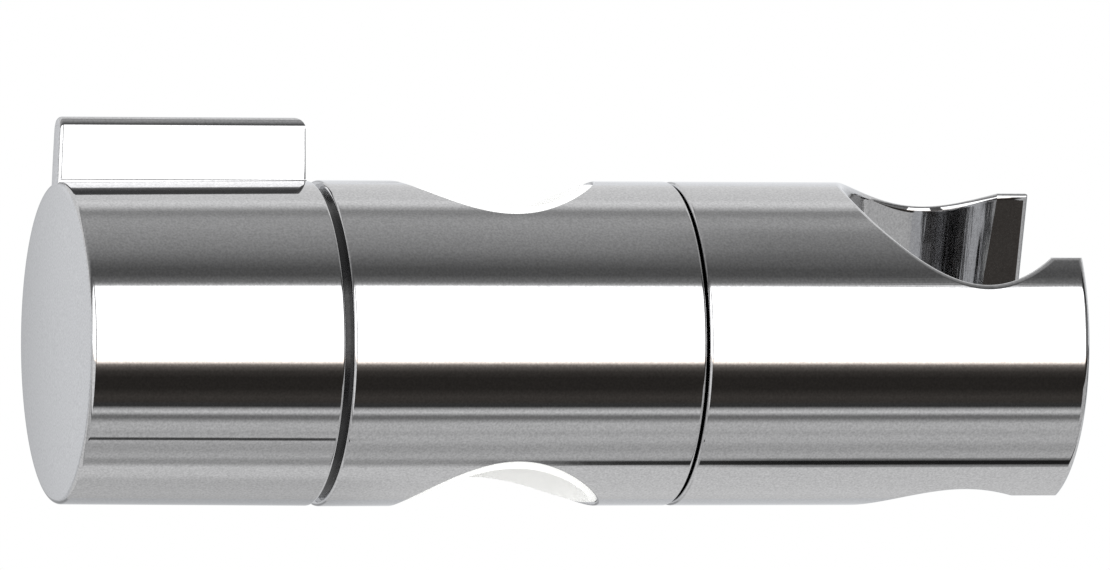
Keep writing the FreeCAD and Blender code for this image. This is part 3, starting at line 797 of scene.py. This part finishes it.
ahead = Vector((math.sin(pan) * math.cos(tilt), math.cos(pan) * math.cos(tilt), math.sin(tilt)))
level_right = ahead.cross(Vector((0, 0, 1))).normalized()
level_up = level_right.cross(ahead)
right = level_right * math.cos(roll) + level_up * math.sin(roll)
up = level_up * math.cos(roll) - level_right * math.sin(roll)

scene = bpy.context.scene
lens = bpy.data.cameras.new("camera")
lens.sensor_width = SENSOR_MM
lens.lens = FOCAL_PIXELS * SENSOR_MM / IMAGE_WIDTH
lens.clip_start, lens.clip_end = 0.01, 50
camera = bpy.data.objects.new("camera", lens)
scene.collection.objects.link(camera)
camera.matrix_world = (Matrix.Translation(camera_place)
                       @ Matrix((right, up, -ahead)).transposed().to_4x4())
scene.camera = camera
print("lens", round(lens.lens), "mm")

# %% [markdown]
# ## The studio
#
# Chrome has no look of its own: it shows the room. A product studio for it is a ring of large
# cards round the object, seen as bands along a horizontal bar. Here the cards are written into the
# world as a list of names, angles and levels, measured round the X axis from the front.
# A softbox in front gives the white band, a black flag below and one above it give the dark ones,
# and the pale backdrop and table give the rest. Real cards could be modelled
# as planes instead, but in the world they stay at any distance and light every view alike.
# The angles and levels were set from readings of the bands that the photograph shows on the
# bar, and then adjusted, so the names say what each card stands for and not what stood there.

# %% Cards above and below the camera
# Name, first and last angle from the front in degrees, and level, where 1 is white paper.
cards_above = [
    ("softbox", 0, 37.3, 2.35),
    ("softbox edge", 38.8, 38.8, 0.60),
    ("softbox frame", 41, 41, 0.25),
    ("black flag", 46, 51, 0.125),
    ("flag's soft edge", 57, 57, 0.19),
    ("dark ceiling", 67, 67, 0.325),
    ("ceiling", 78, 78, 0.41),
    ("grey ceiling", 90, 96, 0.49),
    ("shaded fold", 101.5, 105, 0.385),
    ("lamp's fringe", 108.3, 108.3, 0.60),
    ("back light", 112, 112, 0.88),
    ("back light's core", 116, 116, 1.0),
    ("upper backdrop", 121, 142, 0.89),
    ("backdrop", 153, 166, 0.97),
    ("horizon", 180, 180, 0.85),
]
cards_below = [
    ("softbox", 0, 16.0, 2.35),
    ("softbox edge", 18.0, 18.0, 0.38),
    ("dark floor", 20.0, 20.0, 0.15),
    ("deep shade", 23.0, 23.0, 0.06),
    ("black flag", 27.5, 35.5, 0.033),
    ("flag's foot", 41.5, 41.5, 0.065),
    ("flag's toe", 48.7, 48.7, 0.050),
    ("table's lip", 51.0, 51.0, 0.60),
    ("lip's crest", 52.7, 53.3, 0.80),
    ("table's joint", 55.9, 57.9, 0.24),
    ("table", 61.9, 66.4, 0.67),
    ("table's seam", 69.9, 69.9, 0.58),
    ("lit table", 73.4, 76.4, 0.66),
    ("plain table", 81.3, 85.3, 0.53),
    ("far table", 89.7, 91.7, 0.62),
    ("table's end", 95.1, 98.1, 0.46),
    ("sweep", 102.5, 138, 0.83),
    ("low backdrop", 152, 165, 0.72),
    ("horizon", 180, 180, 0.85),
]

# %% Build the world
HALF_TURN = 180
scene.view_settings.view_transform = "Standard"
world = bpy.data.worlds.new("studio")
scene.world = world
world.use_nodes = True
tree = world.node_tree
tree.nodes.clear()

ray = add_node(tree, "ShaderNodeTexCoord").outputs["Generated"]
ray_x, ray_y, ray_z = add_node(tree, "ShaderNodeSeparateXYZ", {}, {"Vector": ray}).outputs
front = add_node(tree, "ShaderNodeMath", {"operation": "MULTIPLY"},
                 {0: ray_y, 1: -1.0}).outputs[0]
turn = add_node(tree, "ShaderNodeMath", {"operation": "ARCTAN2"},
                {0: ray_z, 1: front}).outputs[0]
angle = add_node(tree, "ShaderNodeMath", {"operation": "MULTIPLY"},
                 {0: turn, 1: HALF_TURN / math.pi}).outputs[0]
unsigned = add_node(tree, "ShaderNodeMath", {"operation": "ABSOLUTE"}, {0: turn}).outputs[0]
turn_part = add_node(tree, "ShaderNodeMath", {"operation": "DIVIDE"},
                     {0: unsigned, 1: math.pi}).outputs[0]
is_above = add_node(tree, "ShaderNodeMath", {"operation": "GREATER_THAN"},
                    {0: ray_z, 1: 0.0}).outputs[0]

# %% Lay the cards along the half turns
# Each half turn is a colour ramp with two stops for each card.
halves = []
for cards in (cards_below, cards_above):
    ramp = add_node(tree, "ShaderNodeValToRGB", {}, {"Fac": turn_part})
    stops = ramp.color_ramp.elements
    while len(stops) > 1:
        stops.remove(stops[-1])
    wanted = sorted({(at, level) for name, first, last, level in cards for at in (first, last)})
    for index, (at, level) in enumerate(wanted):
        stop = stops[0] if index == 0 else stops.new(at / HALF_TURN)
        stop.position = at / HALF_TURN
        stop.color = (level, level, level, 1)
    halves.append(ramp.outputs["Color"])
studio = add_node(tree, "ShaderNodeMix", {"data_type": "RGBA"}, {
    "Factor": is_above, "A": halves[0], "B": halves[1]}).outputs[2]
print("cards", len(cards_above) + len(cards_below))

# %% [markdown]
# ## Thin flags
#
# A real set also has stands and seams that show as thin dark lines on part of the bar only.
# Each is a narrow window in the angle, times a window along X, and it darkens what is behind it.

# %% Add the thin flags and the uneven backdrop
# Name, angle in degrees, half width, softness, window along X, and the level that is left.
thin_flags = [
    ("table's far edge", -97.6, 2.3, 0.7, 0.2585, 0.7, 0.09),
    ("far edge, nearer part", -97.9, 4.6, 0.9, 0.2725, 0.7, 0.45),
    ("table seam", -75.2, 1.2, 0.6, -0.2, 0.2405, 0.12),
    ("table's shaded side", -148.0, 33.0, 5.0, -0.2, 0.245, 0.80),
    ("shaded ceiling", 72.0, 14.0, 6.0, 0.2705, 0.6, 0.80),
    ("backdrop's upper hem", 160.0, 1.0, 0.8, 0.246, 0.262, 0.30),
    ("backdrop's dark end", -150.0, 30.0, 3.0, 0.9, 1.2, 0.12),
    ("joint between softboxes", 11.0, 30.0, 3.0, -0.13, 0.13, 0.06),
    ("flag beside the softbox", 20.0, 42.0, 3.0, 0.62, 1.3, 0.10),
]
FLAG_END_SOFT = 0.006
BACKDROP_FROM = 150
MIDDLE_ALONG_X = (-0.17, 0.08, 0.16)
MIDDLE_LEFT = 0.60


def window(value, low, high, soft):
    """1 between low and high, with soft edges."""
    rise, fall = (add_node(tree, "ShaderNodeMapRange", {"interpolation_type": "SMOOTHSTEP"}, {
        "Value": value, "From Min": edge - soft, "From Max": edge + soft,
        "To Min": before, "To Max": 1 - before}).outputs["Result"]
        for edge, before in ((low, 0.0), (high, 1.0)))
    return add_node(tree, "ShaderNodeMath", {"operation": "MULTIPLY"},
                    {0: rise, 1: fall}).outputs[0]


def patch(first, last, soft, x_from, x_to, x_soft):
    """Mask over a range of angles and a range along X, with soft edges."""
    return add_node(tree, "ShaderNodeMath", {"operation": "MULTIPLY"}, {
        0: window(angle, first, last, soft), 1: window(ray_x, x_from, x_to, x_soft)}).outputs[0]


def dimmed(colour, mask, left):
    """Colour times the level that is left where the mask is 1."""
    factor = add_node(tree, "ShaderNodeMath", {"operation": "MULTIPLY_ADD"},
                      {0: mask, 1: left - 1, 2: 1.0}).outputs[0]
    return add_node(tree, "ShaderNodeVectorMath", {"operation": "SCALE"},
                    {0: colour, "Scale": factor}).outputs[0]


for name, at, half, soft, x_from, x_to, left in thin_flags:
    shade = patch(at - half, at + half, soft, x_from, x_to, FLAG_END_SOFT)
    studio = dimmed(studio, shade, left)

# The backdrop is lit from both sides and falls off in the middle, which the knob's end shows.
behind = add_node(tree, "ShaderNodeMath", {"operation": "GREATER_THAN"},
                  {0: turn_part, 1: BACKDROP_FROM / HALF_TURN}).outputs[0]
middle_of_backdrop = add_node(tree, "ShaderNodeMath", {"operation": "MULTIPLY"}, {
    0: behind, 1: window(ray_x, *MIDDLE_ALONG_X)}).outputs[0]
studio = dimmed(studio, middle_of_backdrop, MIDDLE_LEFT)
print("thin flags", len(thin_flags))

# %% Tint the cards and add the side panels
# Dark cards below the softbox are warm, and the backdrop behind is slightly cool.
WARM, WARM_BAND = (1.0, 0.90, 0.82), (-46, -14, 1.0)
COOL = (0.975, 0.99, 1.015)
for mask, tint in ((window(angle, *WARM_BAND), WARM), (behind, COOL)):
    studio = add_node(tree, "ShaderNodeMix", {"data_type": "RGBA", "blend_type": "MULTIPLY"}, {
        "Factor": mask, "A": studio, "B": (*tint, 1.0)}).outputs[2]

# Two panels stand low beyond the object's ends. Only the seat and the rims show them.
# Name, first and last angle in degrees, window along X, level.
side_panels = [
    ("low panel at the right", -75, -35.5, 0.42, 1.3, 0.60),
    ("bounce card at the left", -54, -17, -1.3, -0.16, 1.0),
]
PANEL_SOFT, PANEL_END_SOFT = 1.5, 0.02
for name, first, last, x_from, x_to, level in side_panels:
    studio = add_node(tree, "ShaderNodeMix", {"data_type": "RGBA"}, {
        "Factor": patch(first, last, PANEL_SOFT, x_from, x_to, PANEL_END_SOFT),
        "A": studio, "B": (level, level, level, 1.0)}).outputs[2]
print("side panels", len(side_panels))

# %% Send the rays
# Mirrors see the cards, matt pieces get the even light of the tent round the set, and the
# camera sees white paper. The tent is brighter than plain white light, so that the liners, deep
# in their recess, come near the white of the photograph. A matt piece in the open clips.
TENT_LEVEL = 1.45
WHITE = (1, 1, 1, 1)
lit = add_node(tree, "ShaderNodeBackground", {}, {"Color": studio, "Strength": 1.0})
paper = add_node(tree, "ShaderNodeBackground", {}, {"Color": WHITE, "Strength": 1.0})
path = add_node(tree, "ShaderNodeLightPath").outputs
tent = add_node(tree, "ShaderNodeBackground", {}, {"Color": WHITE, "Strength": TENT_LEVEL})
for_matt = add_node(tree, "ShaderNodeMixShader", {}, {
    0: path["Is Diffuse Ray"], 1: lit.outputs[0], 2: tent.outputs[0]})
seen = add_node(tree, "ShaderNodeMixShader", {}, {
    0: path["Is Camera Ray"], 1: for_matt.outputs[0], 2: paper.outputs[0]})
add_node(tree, "ShaderNodeOutputWorld", {}, {"Surface": seen.outputs[0]})
print("world nodes", len(tree.nodes))

# %% [markdown]
# ## The floor
#
# A pale painted floor lies a little below the camera, out of its view. It catches the object's
# shadow in the views from above, and mirrors don't see it, because the table in the world
# already stands for it in their reflections.

# %% Lay the floor
FLOOR_SIZE = 4.0
FLOOR_HEIGHT = -0.075
BLOTCH_MM = 40.0
bpy.ops.object.select_all(action="DESELECT")
bpy.ops.mesh.primitive_plane_add(size=FLOOR_SIZE)
floor = bpy.context.object
floor.name = "floor"
floor.location = (0, 0, FLOOR_HEIGHT)
settle(floor)
floor_paint, tree, shader, place = start_material("floor_paint_matt", 0.0, 0.8)
blotches = add_node(tree, "ShaderNodeTexNoise", {}, {
    "Vector": place, "Scale": 1 / (BLOTCH_MM * MM), "Detail": 2.0}).outputs["Fac"]
dress(tree, shader, blotches, ("#F0F0EF", "#F4F4F3"))
floor.data.materials.append(floor_paint)
floor.visible_glossy = False
print("floor at", FLOOR_HEIGHT)
